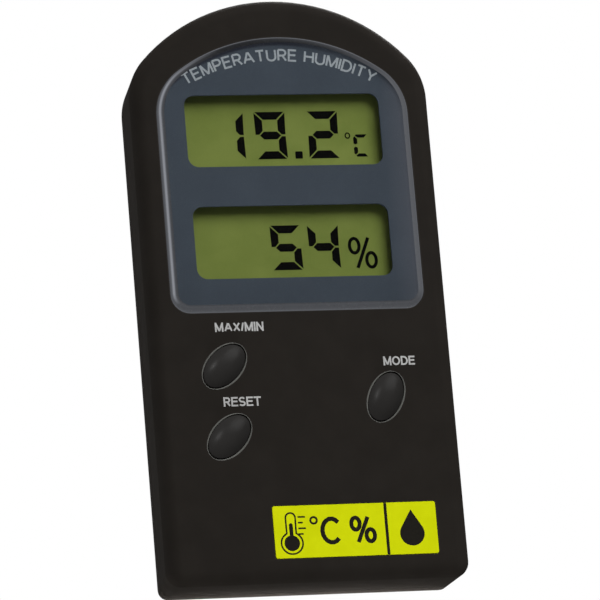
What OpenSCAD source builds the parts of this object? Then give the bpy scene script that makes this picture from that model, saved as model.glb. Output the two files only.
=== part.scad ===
// Digital maximum minimum thermometer, hand size, for a wall screw or its own fold-out stand.
// Axes: +X is right as seen from the front, the front faces -Y, +Z is up.
// Origin: centre of the bottom rest face, halfway through the depth. Units: millimetres.

/* [Housing] */
// Overall height
body_h = 110.4; // [110:0.2:111]
// Width across the front
body_w = 56.6; // [56.2:0.2:57.6]
// Depth from the front face to the rear face
body_d = 16; // [16:0.5:17]
// Wall thickness of both covers
wall = 2; // [1.9:0.1:2.1]
// Rounding of the front edge
front_round = 2.75; // [2.25:0.25:3]
// Rounding of the rear edge
rear_round = 2; // [1.5:0.25:2]
// How far each side leans in from front to rear
draft = 1; // [0.6:0.2:1.2]

/* [Display] */
// Width of the clear lens
lens_w = 47.6; // [47:0.2:48]
// Height of the clear lens
lens_h = 52.3; // [51.9:0.2:52.5]
// How far the lens stands proud of the front face
lens_proud = 1; // [0.8:0.1:1.1]
// Width of each display window
window_w = 37; // [36:0.5:37.5]
// Height of each display window
window_h = 13.8; // [13:0.2:14]
// Distance between the centres of the two windows
window_pitch = 21.3; // [21:0.1:21.5]

/* [Buttons] */
// Long half-axis of a button opening
button_a = 5.15; // [5:0.05:5.3]
// Short half-axis of a button opening
button_b = 3.35; // [3.2:0.05:3.5]
// Height of a button's dome above the front face
button_proud = 1.3; // [0.8:0.1:1.5]
// How far a button travels when pressed
button_travel = 0.9; // [0.7:0.1:0.9]

/* [Stand] */
// Width of the fold-out leg
leg_w = 30; // [28:1:30]
// Length of the leg above its hinge axis
leg_len = 36.5; // [34:0.5:37]
// Thickness of the leg
leg_t = 2.4; // [2.2:0.1:2.4]

/* [Battery] */
// Diameter of the AAA cell
cell_d = 10.5; // [10:0.1:10.5]
// Length of the AAA cell with its nub
cell_l = 44.5; // [43.5:0.5:44.5]

/* [Hidden] */

eps = 0.01;
cut = 1;

// Depth planes. The front stack is measured from the front face, the rest from the rear face.
front_y = -body_d / 2;
rear_y = body_d / 2;
part_y = front_y + 10.85;
lens_t = 2;
lens_back = front_y - lens_proud + lens_t;
plate_t = 0.5;
plate_back = lens_back + plate_t;
tape_t = 0.15;
pocket_floor = plate_back + tape_t;
ledge_back = pocket_floor + 1.3;
film_t = 0.2;
glass_t = 1.1;
film_y = ledge_back + 0.1;
glass_y = film_y + film_t;
crystal_y = glass_y + glass_t;
crystal_t = 0.1;
rear_glass_y = crystal_y + crystal_t;
reflector_y = rear_glass_y + glass_t;
board_y = front_y + 8.25;
board_t = 1.6;
board_back = board_y + board_t;

// Housing outline: a wide top arc, two shoulder arcs, straight sides and rounded feet.
top_r = 34;
shoulder_r = 12;
foot_r = 2.8;

// Lens outline, the same family of arcs.
lens_top = body_h - 7.8;
lens_bottom = lens_top - lens_h;
lens_top_r = 33;
lens_shoulder_r = 10.5;
lens_foot_r = 3.5;
lens_gap = 0.1;
lens_edge = 1.3;

// Display centre and window places.
disp_z = body_h - 36.2;
window_r = 2;
glass_hw = 20.8;
glass_z0 = disp_z - 21.4;
glass_z1 = disp_z + 21.2;
contact_ledge = 2.6;
frame_wall = 1.2;
frame_gap = 0.1;

// Buttons: name order is max_min, reset, mode; each is [x, z, tilt of the long axis].
MAX_MIN = [-14.9, 40.15, 45];
RESET = [-15, 26.95, 45];
MODE = [14.9, 33.6, 63];
BUTTONS = [MAX_MIN, RESET, MODE];
hole_chamfer = 0.3;
button_gap = 0.15;
flange = 0.8;
flange_t = 0.8;
flange_y = front_y + wall + 0.1;
stem_end = front_y + 3.7;
dome_top = stem_end + 0.05;
mat_t = 0.8;
pill_r = 1.4;
pill_t = 0.5;
pill_gap = 0.02;
pill_end = board_y - button_travel - pill_gap;

// Front label, a film in a shallow recess.
label_x0 = -8.2;
label_x1 = 22.3;
label_z0 = 4.15;
label_z1 = 13.8;
label_r = 0.4;
label_t = 0.3;
label_sink = 0.2;

// Screws: places as [x, z].
CASE_SCREWS = [[-12.5, body_h - 9.1], [12.5, body_h - 9.1], [-22.6, 24.5], [22.6, 24.5]];
BOARD_SCREWS = [[-22, disp_z - 25.95], [22, disp_z - 25.95], [0, 26]];
case_boss_r = 2.8;
case_core_r = 0.9;
case_head_r = 1.9;
counterbore_r = 2.2;
seat_y = rear_y - 3;
joint_y = part_y - 1.6;
board_boss_r = 2.2;
board_core_r = 0.7;
core_gap = 0.02;

// Main board: its lower and upper edges and its inset from the housing outline.
board_z0 = 21;
board_z1 = body_h - 13;
board_inset = 3.5;

// Interlocking lip between the covers.
lip_out = wall - 0.9;
lip_gap = 0.1;
lip_h = 1.4;
seam = 0.2;

// Battery bay, a tub moulded into the rear cover.
cell_z = 11.5;
cell_y = front_y + 8.55;
cell_x1 = 23.6;
cell_x0 = cell_x1 - cell_l;
nub_l = 0.8;
bay_x0 = -24.9;
bay_x1 = cell_x1 + 0.45;
bay_z0 = cell_z - 6.1;
bay_z1 = cell_z + 6.1;
bay_front = front_y + 3.15;
bay_wall = 1.05;
contact_t = 0.3;
tab_z = bay_z1 + bay_wall + 1.6;

// Battery door, a plate that slides down out of two side grooves.
door_hw = 24.4;
door_t = 1.6;
door_top = 20.4;
door_gap = 0.1;
tongue = 0.6;
tongue_y0 = rear_y - door_t + 0.1;
tongue_t = 0.7;

// Stand leg and its recess. The hinge axis runs along X.
hinge_z = 29.5;
hinge_y = rear_y - leg_t / 2;
pin_r = 1;
pin_gap = 0.05;
pin_l = 1.8;
recess_gap = 0.15;
recess_floor = rear_y - leg_t - 0.1;
stop_z = hinge_z - leg_t;
leg_top = hinge_z + leg_len;

// Keyhole for a wall screw.
key_z = body_h - 14.4;
key_r = 4;
key_slot_r = 2;
key_slot_l = 6;

// ---------- outlines, all as [x, z] points, anticlockwise as seen from the front ----------

function arc(cx, cz, r, a0, a1, n) =
    [for (i = [0:n]) let (a = a0 + (a1 - a0) * i / n) [cx + r * cos(a), cz + r * sin(a)]];

// An arch shape moved inwards by inset at the sides and top, and by foot at the bottom.
function arch(w, z0, z1, rt, rs, rf, inset, foot) =
    let (
        sx = w / 2 - rs,
        a = acos(sx / (rt - rs)),
        sz = z1 - rt + (rt - rs) * sin(a),
        f = max(rf - inset, 0.4),
        fx = w / 2 - inset - f,
        fz = z0 + foot + f,
        top = arc(0, z1 - rt, rt - inset, a, 180 - a, 28)
    )
    concat(
        arc(fx, fz, f, -90, 0, 7),
        arc(sx, sz, rs - inset, 0, a, 12),
        [for (i = [1:len(top) - 2]) top[i]],
        arc(-sx, sz, rs - inset, 180 - a, 180, 12),
        arc(-fx, fz, f, 180, 270, 7)
    );

function housing(inset, foot) =
    arch(body_w, 0, body_h, top_r, shoulder_r, foot_r, inset, foot);

function lens_shape(inset) =
    arch(lens_w, lens_bottom, lens_top, lens_top_r, lens_shoulder_r, lens_foot_r, inset, inset);

function oval(b, a, c) =
    [for (i = [0:39]) let (t = 9 * i, u = a * cos(t), v = c * sin(t))
        [b[0] + u * cos(b[2]) - v * sin(b[2]), b[1] + u * sin(b[2]) + v * cos(b[2])]];

function round_box(x0, x1, z0, z1, r) = concat(
    arc(x1 - r, z0 + r, r, -90, 0, 6), arc(x1 - r, z1 - r, r, 0, 90, 6),
    arc(x0 + r, z1 - r, r, 90, 180, 6), arc(x0 + r, z0 + r, r, 180, 270, 6));

// An outline placed at depth y.
function at_y(pts, y) = [for (p = pts) [p[0], y, p[1]]];

// Sideways lean of the walls at depth y: none up to the end of the front rounding.
function lean(y) = draft * max(0, y - front_y - front_round) / (body_d - front_round);

// ---------- shared shapes ----------

// A solid skin over rings of 3-D points. All rings have the same number of points.
module loft(rings) {
    n = len(rings[0]);
    last = (len(rings) - 1) * n;
    sides = [for (j = [0:len(rings) - 2], i = [0:n - 1])
        let (a = j * n + i, b = j * n + (i + 1) % n) each [[a, b, b + n], [a, b + n, a + n]]];
    caps = [[for (i = [n - 1:-1:0]) i], [for (i = [0:n - 1]) last + i]];
    polyhedron(points = [for (r = rings) each r], faces = concat(caps, sides), convexity = 6);
}

// Round wire along a path of points.
module wire(path, r, sides = 8) {
    m = len(path) - 1;
    loft([for (k = [0:m])
        let (
            t = path[min(k + 1, m)] - path[max(k - 1, 0)],
            n0 = cross(t, [0.13, 1, 0.07]),
            n = n0 / norm(n0),
            b0 = cross(n, t),
            b = b0 / norm(b0)
        )
        [for (i = [0:sides - 1]) let (a = 360 * i / sides) path[k] + r * (cos(a) * n + sin(a) * b)]]);
}

module prism(pts, y0, y1) {
    translate([0, y1, 0]) rotate([90, 0, 0]) linear_extrude(y1 - y0) polygon(pts);
}

module rod(x, z, r, y0, y1) {
    translate([x, y1, z]) rotate([90, 0, 0]) cylinder(h = y1 - y0, r = r, $fn = 48);
}

module rod_x(x0, x1, y, z, r) {
    translate([x0, y, z]) rotate([0, 90, 0]) cylinder(h = x1 - x0, r = r, $fn = 48);
}

module box(x0, x1, y0, y1, z0, z1) {
    translate([x0, y0, z0]) cube([x1 - x0, y1 - y0, z1 - z0]);
}

// ---------- covers ----------

module front_skin() {
    steps = 7;
    edge = [for (i = [0:steps])
        let (
            t = 90 * i / steps,
            y = front_y + front_round * (1 - cos(t)),
            inset = front_round * (1 - sin(t))
        )
        at_y(housing(inset + lean(y), inset), y)];
    seam_ring = at_y(housing(lean(part_y - seam), 0), part_y - seam);
    end_ring = at_y(housing(lean(part_y) + seam, seam), part_y);
    loft(concat(edge, [seam_ring, end_ring]));
}

module rear_skin() {
    steps = 5;
    start_ring = at_y(housing(lean(part_y) + seam, seam), part_y);
    seam_ring = at_y(housing(lean(part_y + seam), 0), part_y + seam);
    edge = [for (i = [0:steps])
        let (
            t = 90 * i / steps,
            y = rear_y - rear_round * (1 - sin(t)),
            inset = rear_round * (1 - cos(t))
        )
        at_y(housing(inset + lean(y), inset), y)];
    loft(concat([start_ring, seam_ring], edge));
}

// Button opening with a small bright chamfer.
module button_hole(b) {
    ra = button_a - hole_chamfer;
    rb = button_b - hole_chamfer;
    prism(oval(b, ra, rb), front_y - cut, front_y + wall + cut);
    loft([
        at_y(oval(b, button_a + hole_chamfer, button_b + hole_chamfer), front_y - hole_chamfer),
        at_y(oval(b, ra, rb), front_y + hole_chamfer)
    ]);
}

module front_cover() color([0.14, 0.135, 0.13]) difference() {
    union() {
        difference() {
            front_skin();
            prism(housing(wall, wall), front_y + wall, part_y + cut);
        }
        prism(lens_shape(-1.2), front_y + wall - 0.5, ledge_back);
        for (s = CASE_SCREWS) rod(s[0], s[1], case_boss_r, front_y + wall - 0.5, joint_y - 0.05);
        for (s = BOARD_SCREWS) rod(s[0], s[1], board_boss_r, front_y + wall - 0.5, board_y);
    }
    prism(lens_shape(-lens_gap), front_y - cut, pocket_floor);
    box(-19.6, 19.6, pocket_floor - cut, ledge_back + cut, disp_z - 18.8, disp_z + 18.7);
    for (b = BUTTONS) button_hole(b);
    prism(housing(lip_out - lip_gap, lip_out - lip_gap), part_y - lip_h - 0.1, part_y + cut);
    for (s = CASE_SCREWS)
        rod(s[0], s[1], case_core_r + core_gap, front_y + 3.5, joint_y + cut);
    for (s = BOARD_SCREWS)
        rod(s[0], s[1], board_core_r + core_gap, front_y + 3, board_y + cut);
    prism(round_box(label_x0 - 0.1, label_x1 + 0.1, label_z0 - 0.1, label_z1 + 0.1, label_r + 0.1),
        front_y - cut, front_y + label_sink);
}

module front_label() color([0.78, 0.81, 0.02])
    prism(round_box(label_x0, label_x1, label_z0, label_z1, label_r),
        front_y + label_sink - label_t, front_y + label_sink);

module battery_bay_walls() {
    box(bay_x0 - bay_wall, bay_x1 + bay_wall, bay_front - 0.95, rear_y - door_t,
        bay_z0 - bay_wall, bay_z1 + bay_wall);
}

module keyhole_pocket() {
    hw = 6.5;
    t = 1;
    difference() {
        box(-hw - t, hw + t, rear_y - 5.2, rear_y - wall + 0.2, key_z - 6.5, key_z + 9.2);
        box(-hw, hw, rear_y - 4.4, rear_y - wall + cut, key_z - 5.5, key_z + 8.2);
    }
}

module rear_cover() color([0.15, 0.145, 0.14]) difference() {
    union() {
        difference() {
            rear_skin();
            prism(housing(wall, wall), part_y - cut, rear_y - wall);
        }
        difference() {
            prism(housing(lip_out, lip_out), part_y - lip_h, part_y + 0.5);
            prism(housing(wall, wall), part_y - lip_h - cut, part_y + cut);
        }
        box(-leg_w / 2 - 2.1, leg_w / 2 + 2.1, rear_y - leg_t - 1.6, rear_y - wall + 0.2, 25.5, 76);
        for (s = CASE_SCREWS) rod(s[0], s[1], case_boss_r, joint_y, rear_y - wall + 0.2);
        battery_bay_walls();
        box(-door_hw - 0.5, door_hw + 0.5, rear_y - 3, rear_y - wall + 0.2, 1, bay_z0);
        keyhole_pocket();
    }
    // Battery bay hollow, its contact-tab slits and its open rear.
    box(bay_x0, bay_x1, bay_front, rear_y + cut, bay_z0, bay_z1);
    box(bay_x0, bay_x0 + 0.5, cell_y - 2, cell_y + 2, bay_z1 - cut, bay_z1 + bay_wall + cut);
    box(bay_x1 - 0.5, bay_x1, cell_y - 2, cell_y + 2, bay_z1 - cut, bay_z1 + bay_wall + cut);
    // Door recess and its two side grooves, open at the bottom.
    box(-door_hw, door_hw, rear_y - door_t, rear_y + cut, -cut, door_top + door_gap);
    box(-door_hw - tongue - door_gap, door_hw + tongue + door_gap, tongue_y0 - door_gap,
        tongue_y0 + tongue_t + door_gap, -cut, door_top + door_gap);
    // Stand recess, finger scoop and hinge bores.
    prism(round_box(-leg_w / 2 - recess_gap, leg_w / 2 + recess_gap, stop_z,
        leg_top + recess_gap, 1.5), recess_floor, rear_y + cut);
    box(-leg_w / 2 - recess_gap, leg_w / 2 + recess_gap, recess_floor, rear_y + cut,
        stop_z, hinge_z);
    rod(0, leg_top, 6, rear_y - 2, rear_y + cut);
    rod_x(-leg_w / 2 - 2.1 - cut, leg_w / 2 + 2.1 + cut, hinge_y, hinge_z, pin_r + pin_gap);
    // Screw holes with counterbores.
    for (s = CASE_SCREWS) {
        rod(s[0], s[1], 1.2, joint_y - cut, rear_y);
        rod(s[0], s[1], counterbore_r, seat_y, rear_y + cut);
    }
    // Keyhole.
    rod(0, key_z, key_r, rear_y - wall - eps, rear_y + cut);
    rod(0, key_z + key_slot_l, key_slot_r, rear_y - wall - eps, rear_y + cut);
    box(-key_slot_r, key_slot_r, rear_y - wall - eps, rear_y + cut, key_z, key_z + key_slot_l);
    // Vent slots over the sensors.
    for (i = [0:4])
        prism(round_box(-21, -9.6, 79 + 2.6 * i, 80.2 + 2.6 * i, 0.55),
            rear_y - wall - eps, rear_y + cut);
}

module display_lens() color([0.75, 0.8, 0.85, 0.35]) {
    steps = 5;
    edge = [for (i = [0:steps])
        let (t = 90 * i / steps)
        at_y(lens_shape(lens_edge * (1 - sin(t))), front_y - lens_proud * cos(t))];
    loft(concat(edge, [at_y(lens_shape(0), lens_back)]));
}

module window(dz, grow, y0, y1) {
    prism(round_box(-window_w / 2 - grow, window_w / 2 + grow, disp_z + dz - window_h / 2 - grow,
        disp_z + dz + window_h / 2 + grow, window_r), y0, y1);
}

module faceplate() color([0.23, 0.26, 0.3]) difference() {
    prism(lens_shape(0.2), lens_back, plate_back);
    window(window_pitch / 2, 0, lens_back - cut, plate_back + cut);
    window(-window_pitch / 2, 0, lens_back - cut, plate_back + cut);
}

module lens_tape() color([0.1, 0.1, 0.1]) difference() {
    prism(lens_shape(0.3), plate_back, pocket_floor);
    box(-19.8, 19.8, plate_back - cut, pocket_floor + cut, disp_z - 19, disp_z + 18.9);
}

// ---------- liquid crystal display ----------

module lcd_plate(y, t, top_cut, low_cut, side_cut = 0) {
    box(-glass_hw + side_cut, glass_hw - side_cut, y, y + t, glass_z0 + low_cut, glass_z1 - top_cut);
}

module lcd_front_polarizer() color([0.42, 0.47, 0.24]) lcd_plate(film_y, film_t, 0.5, 0.5, 0.4);
module lcd_front_glass() color([0.6, 0.7, 0.6, 0.4]) lcd_plate(glass_y, glass_t, 0, 0);
module lcd_crystal_layer() color([0.3, 0.34, 0.2])
    lcd_plate(crystal_y, crystal_t, contact_ledge + 0.2, contact_ledge + 0.2, 0.2);
module lcd_rear_glass() color([0.6, 0.7, 0.6, 0.4])
    lcd_plate(rear_glass_y, glass_t, contact_ledge, contact_ledge);
module lcd_reflector() color([0.6, 0.62, 0.6])
    lcd_plate(reflector_y, film_t, contact_ledge + 0.4, contact_ledge + 0.4, 0.4);

module lcd_frame() color([0.85, 0.85, 0.82]) difference() {
    g = frame_gap;
    o = frame_gap + frame_wall;
    prism(round_box(-glass_hw - o, glass_hw + o, glass_z0 - o, glass_z1 + o, 1), film_y - 0.05, board_y);
    box(-glass_hw - g, glass_hw + g, film_y - cut, board_y - 1.2, glass_z0 - g, glass_z1 + g);
    box(-19.7, 19.7, film_y, board_y + cut, glass_z0 + 0.2, glass_z0 + 2.4);
    box(-19.7, 19.7, film_y, board_y + cut, glass_z1 - 2.4, glass_z1 - 0.2);
    box(-17, 17, film_y, board_y + cut, glass_z0 + 6, glass_z1 - 6);
}

module zebra_strip(z) color([0.55, 0.2, 0.3])
    box(-19.5, 19.5, crystal_y, board_y, z - 0.9, z + 0.9);
module zebra_strip_lower() zebra_strip(glass_z0 + 1.3);
module zebra_strip_upper() zebra_strip(glass_z1 - 1.3);

// ---------- electronics ----------

module main_board() color([0.08, 0.35, 0.18]) difference() {
    intersection() {
        prism(housing(board_inset, board_inset), board_y, board_back);
        box(-body_w, body_w, board_y - cut, board_back + cut, board_z0, board_z1);
    }
    for (s = CASE_SCREWS) rod(s[0], s[1], case_boss_r + 0.4, board_y - cut, board_back + cut);
    for (s = BOARD_SCREWS) rod(s[0], s[1], 1.1, board_y - cut, board_back + cut);
}

module controller_chip() color([0.06, 0.06, 0.07])
    translate([2, board_back, 52]) rotate([-90, 0, 0]) intersection() {
        translate([0, 0, -8.2]) sphere(r = 9.8, $fn = 64);
        cylinder(h = 3, r = 8, $fn = 64);
    }

module timing_crystal() color([0.75, 0.75, 0.78]) {
    rod_x(-13, -6.9, board_back + 1.05, 58, 1);
    for (dz = [-0.5, 0.5]) rod_x(-15.6, -13 + eps, board_back + 1.05, 58 + dz, 0.15);
}

module chip_components() color([0.75, 0.65, 0.5])
    for (i = [0:4], j = [0:1])
        box(10.5 + 2.6 * i, 12.1 + 2.6 * i, board_back, board_back + 0.5, 61 + 6 * j, 61.8 + 6 * j);

module humidity_sensor() color([0.92, 0.92, 0.9]) difference() {
    box(-20.4, -12.4, board_back, board_back + 2.2, 78.5, 91.5);
    for (i = [0:2], j = [0:3])
        box(-19.4 + 2.1 * i, -17.8 + 2.1 * i, board_back + 1.4, board_back + 3,
            79.8 + 2.8 * j, 81.8 + 2.8 * j);
}

module thermistor() color([0.1, 0.1, 0.12]) {
    translate([-9, board_back + 2.6, 87]) sphere(r = 1.1, $fn = 32);
    for (dx = [-0.55, 0.55]) {
        translate([-9 + dx, board_back + 2.6, 79]) cylinder(h = 7.4, r = 0.18, $fn = 24);
        rod(-9 + dx, 79.1, 0.18, board_back, board_back + 2.7);
    }
}

module screw(x, z, seat, head_r, head_t, core_r, len) {
    difference() {
        union() {
            rod(x, z, head_r, seat, seat + head_t);
            rod(x, z, core_r, seat - len, seat + eps);
        }
        for (a = [0, 90])
            translate([x, seat + head_t, z]) rotate([0, a, 0])
                cube([0.5, head_t * 1.1, head_r * 1.3], center = true);
    }
}

module board_screws() color([0.75, 0.75, 0.76])
    for (s = BOARD_SCREWS) screw(s[0], s[1], board_back, 1.6, 1.1, board_core_r, 5.5);

module case_screws() color([0.3, 0.3, 0.31])
    for (s = CASE_SCREWS) screw(s[0], s[1], seat_y, case_head_r, 1.5, case_core_r, 9);

// ---------- buttons ----------

// One soft dome of the mat: a cone web, a pad on top and a plunger that holds the contact pill.
module mat_dome(b) {
    top_r = 2.3;
    base_r = 3.6;
    web = 0.55;
    base = board_y - mat_t;
    pill_top = pill_end - pill_t;
    translate([b[0], board_y, b[1]]) rotate([90, 0, 0]) rotate_extrude($fn = 64) polygon([
        [0, pill_gap - (pill_top - board_y)], [pill_r, pill_gap - (pill_top - board_y)],
        [pill_r, board_y - dome_top - 0.9], [top_r - web, board_y - dome_top - 0.9],
        [base_r - web, mat_t], [base_r - web, 0], [base_r + 0.6, 0], [base_r + 0.6, mat_t],
        [base_r, mat_t], [top_r, board_y - dome_top - 0.4], [top_r, board_y - dome_top],
        [0, board_y - dome_top]]);
}

module keypad_mat() color([0.32, 0.32, 0.34]) {
    difference() {
        prism(round_box(-19.6, 19.4, 22, 45.5, 2), board_y - mat_t, board_y);
        for (b = BUTTONS) rod(b[0], b[1], 3.9, board_y - mat_t - cut, board_y + cut);
        for (s = CASE_SCREWS) rod(s[0], s[1], case_boss_r + 0.4, board_y - 3, board_y + cut);
        rod(BOARD_SCREWS[2][0], BOARD_SCREWS[2][1], board_boss_r + 0.4, board_y - 3, board_y + cut);
    }
    for (b = BUTTONS) mat_dome(b);
}

// Rigid cap: a glossy oval dome, a straight skirt, a flange behind the wall and a stem.
module button_cap(b) {
    a = button_a - hole_chamfer - button_gap;
    c = button_b - hole_chamfer - button_gap;
    dome_base = front_y + 0.1;
    steps = 8;
    dome = [for (i = [1:steps])
        let (t = 90 * i / steps, s = pow(sin(t), 0.85))
        at_y(oval(b, a * s, c * s), dome_base - (button_proud + 0.1) * pow(cos(t), 1.1))];
    color([0.09, 0.085, 0.08]) {
        loft(concat(dome, [at_y(oval(b, a, c), flange_y + eps)]));
        prism(oval(b, a + flange, c + flange), flange_y, flange_y + flange_t);
        rod(b[0], b[1], 2.2, flange_y + flange_t - eps, stem_end);
    }
}

module contact_pill(b) color([0.05, 0.05, 0.05]) rod(b[0], b[1], pill_r, pill_end - pill_t, pill_end);

module max_min_button() button_cap(MAX_MIN);
module reset_button() button_cap(RESET);
module mode_button() button_cap(MODE);
module max_min_contact() contact_pill(MAX_MIN);
module reset_contact() contact_pill(RESET);
module mode_contact() contact_pill(MODE);

// ---------- stand and battery door ----------

module stand_leg() color([0.15, 0.145, 0.14]) difference() {
    union() {
        prism(round_box(-leg_w / 2, leg_w / 2, hinge_z + 4, leg_top, 2.5), rear_y - leg_t, rear_y);
        box(-leg_w / 2, leg_w / 2, rear_y - leg_t, rear_y, hinge_z, leg_top - 5);
        rod_x(-leg_w / 2, leg_w / 2, hinge_y, hinge_z, leg_t / 2);
        rod_x(-leg_w / 2 - pin_l, leg_w / 2 + pin_l, hinge_y, hinge_z, pin_r);
    }
    prism(round_box(-leg_w / 2 + 4, leg_w / 2 - 4, hinge_z + 6, leg_top - 5, 1.5),
        rear_y - 0.6, rear_y + cut);
}

module battery_door() color([0.15, 0.145, 0.14]) difference() {
    intersection() {
        rear_skin();
        union() {
            box(-door_hw + door_gap, door_hw - door_gap, rear_y - door_t + 0.05, rear_y + cut,
                -cut, door_top);
            box(-door_hw - tongue, door_hw + tongue, tongue_y0, tongue_y0 + tongue_t, -cut,
                door_top);
        }
    }
    for (i = [0:4])
        box(-7, 7, rear_y - 0.5, rear_y + cut, 7 + 1.8 * i, 7.8 + 1.8 * i);
}

// ---------- battery and its contacts ----------

module battery_cell() color([0.72, 0.72, 0.7]) {
    rod_x(cell_x0, cell_x1 - nub_l, cell_y, cell_z, cell_d / 2);
    rod_x(cell_x1 - nub_l - eps, cell_x1, cell_y, cell_z, 1.9);
}

module contact_plate(x, tab) {
    box(x, x + contact_t, cell_y - 4.4, cell_y + 4.4, bay_z0 + 0.2, bay_z1 - 0.2);
    box(x, x + contact_t, cell_y - 1.8, cell_y + 1.8, bay_z1 - 0.3, tab);
}

module positive_contact() color([0.8, 0.8, 0.78]) contact_plate(cell_x1 + 0.05, tab_z);
module negative_contact() color([0.8, 0.8, 0.78]) contact_plate(bay_x0 + 0.05, tab_z);

// Conical contact spring between the negative plate and the cell.
module battery_spring() color([0.8, 0.8, 0.78]) {
    r = 0.3;
    x0 = bay_x0 + 0.05 + contact_t + r + 0.02;
    x1 = cell_x0 - r - 0.03;
    turns = 3.25;
    n = 52;
    wire([for (i = [0:n])
        let (u = i / n, a = 360 * turns * u, c = 3.9 - 1.5 * u)
        [x0 + (x1 - x0) * u, cell_y + c * cos(a), cell_z + c * sin(a)]], r);
}

// Insulated wire from a contact tab to the board, along a smooth cubic curve.
module lead(p0, p1, p2, p3) {
    n = 12;
    wire([for (i = [0:n])
        let (u = i / n, v = 1 - u)
        v * v * v * p0 + 3 * v * v * u * p1 + 3 * v * u * u * p2 + u * u * u * p3], 0.5, 10);
}

module positive_lead() color([0.7, 0.08, 0.06]) lead(
    [cell_x1 - 0.5, cell_y, tab_z - 0.7], [cell_x1 - 4, cell_y, tab_z + 0.2],
    [17.5, board_back + 2.5, tab_z + 0.2], [16.5, board_back + 0.55, board_z0 + 3.2]);

module negative_lead() color([0.06, 0.06, 0.06]) lead(
    [bay_x0 + 0.9, cell_y, tab_z - 0.7], [bay_x0 + 4.4, cell_y, tab_z + 0.2],
    [-17.5, board_back + 2.5, tab_z + 0.2], [-16.5, board_back + 0.55, board_z0 + 3.2]);

front_cover();
rear_cover();
display_lens();
faceplate();
lens_tape();
front_label();
lcd_front_polarizer();
lcd_front_glass();
lcd_crystal_layer();
lcd_rear_glass();
lcd_reflector();
lcd_frame();
zebra_strip_lower();
zebra_strip_upper();
main_board();
controller_chip();
timing_crystal();
chip_components();
humidity_sensor();
thermistor();
board_screws();
case_screws();
keypad_mat();
max_min_button();
max_min_contact();
reset_button();
reset_contact();
mode_button();
mode_contact();
stand_leg();
battery_door();
battery_cell();
positive_contact();
negative_contact();
battery_spring();
positive_lead();
negative_lead();
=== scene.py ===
import math

import bmesh
import bpy
from mathutils import Matrix, Vector

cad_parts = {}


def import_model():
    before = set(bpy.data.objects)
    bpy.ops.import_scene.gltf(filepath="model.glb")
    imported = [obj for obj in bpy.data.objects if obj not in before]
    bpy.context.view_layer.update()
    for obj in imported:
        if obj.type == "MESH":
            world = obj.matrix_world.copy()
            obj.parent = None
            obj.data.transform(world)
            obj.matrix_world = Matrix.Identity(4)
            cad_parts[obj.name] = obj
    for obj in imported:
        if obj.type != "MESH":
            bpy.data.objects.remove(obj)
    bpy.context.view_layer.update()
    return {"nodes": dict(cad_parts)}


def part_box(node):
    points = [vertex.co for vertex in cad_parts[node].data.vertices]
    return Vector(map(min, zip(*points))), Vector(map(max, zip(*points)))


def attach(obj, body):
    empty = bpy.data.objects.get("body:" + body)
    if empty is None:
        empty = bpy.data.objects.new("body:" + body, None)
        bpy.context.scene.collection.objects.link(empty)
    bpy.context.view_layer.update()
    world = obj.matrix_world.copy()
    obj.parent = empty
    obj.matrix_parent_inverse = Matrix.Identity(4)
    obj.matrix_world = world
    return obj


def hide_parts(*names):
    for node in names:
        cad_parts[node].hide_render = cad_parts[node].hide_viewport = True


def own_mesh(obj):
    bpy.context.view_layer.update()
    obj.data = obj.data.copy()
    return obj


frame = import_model()
nodes = frame["nodes"]

# The script works in millimetres and turns them to metres when a mesh is made.
MM = 0.001


def limits(node):
    """Lowest and highest corner of a CAD node in millimetres."""
    low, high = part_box(node)
    return low / MM, high / MM


def middle(node):
    """Where a CAD node's middle is, seen from the front: x, z."""
    low, high = limits(node)
    return (low.x + high.x) / 2, (low.z + high.z) / 2


FRONT = limits("front_cover")[0].y
LENS_LOW, LENS_HIGH = limits("display_lens")
PLATE_LOW, PLATE_HIGH = limits("faceplate")
FILM_FRONT = limits("lcd_front_polarizer")[0].y
LABEL_LOW, LABEL_HIGH = limits("front_label")
CELL_LOW, CELL_HIGH = limits("battery_cell")
MAT_LOW, MAT_HIGH = limits("keypad_mat")

# The lens: radii of its top arc, shoulders and feet, the width of its rounded edge, and the gaps
# from its back and its outline to the mask.
LENS_W = LENS_HIGH.x - LENS_LOW.x
LENS_TOP_R = 33
LENS_SHOULDER_R = 10.5
LENS_FOOT_R = 3.5
LENS_EDGE = 1.2
LENS_BACK_GAP = 0.03
MASK_INSET = 0.25

# Display windows, whose middle is a little above the film's.
WINDOW_W = 37
WINDOW_H = 13.8
WINDOW_R = 2
WINDOW_PITCH = 21.3
FILM_DROP = 0.1
DISPLAY_Z = middle("lcd_front_polarizer")[1] + FILM_DROP
UPPER_Z = DISPLAY_Z + WINDOW_PITCH / 2
LOWER_Z = DISPLAY_Z - WINDOW_PITCH / 2

# Buttons: body, and the tilt of the long axis in degrees; then half axes and travel.
BUTTONS = {"max_min_button": ("max_min", 45), "reset_button": ("reset", 45), "mode_button": ("mode", 63)}
BUTTON_A = 5.15
BUTTON_B = 3.35

# Ink stands this far in front of what it is printed on, and crossing lines are set this far apart.
INK = 0.01
INK_STEP = 0.001


# ---------------------------------------------------------------- outlines


def bow(cx, cz, rx, rz, start, end, steps=14):
    """Points [x, z] along part of an ellipse, angles in degrees, anticlockwise from +X."""
    points = []
    for i in range(steps + 1):
        a = math.radians(start + (end - start) * i / steps)
        points.append((cx + rx * math.cos(a), cz + rz * math.sin(a)))
    return points


def arc(cx, cz, r, start, end, steps):
    return bow(cx, cz, r, r, start, end, steps)


def ring(cx, cz, rx, rz, steps=24):
    """A whole ellipse."""
    return bow(cx, cz, rx, rz, 0, 360, steps)[:-1]


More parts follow.
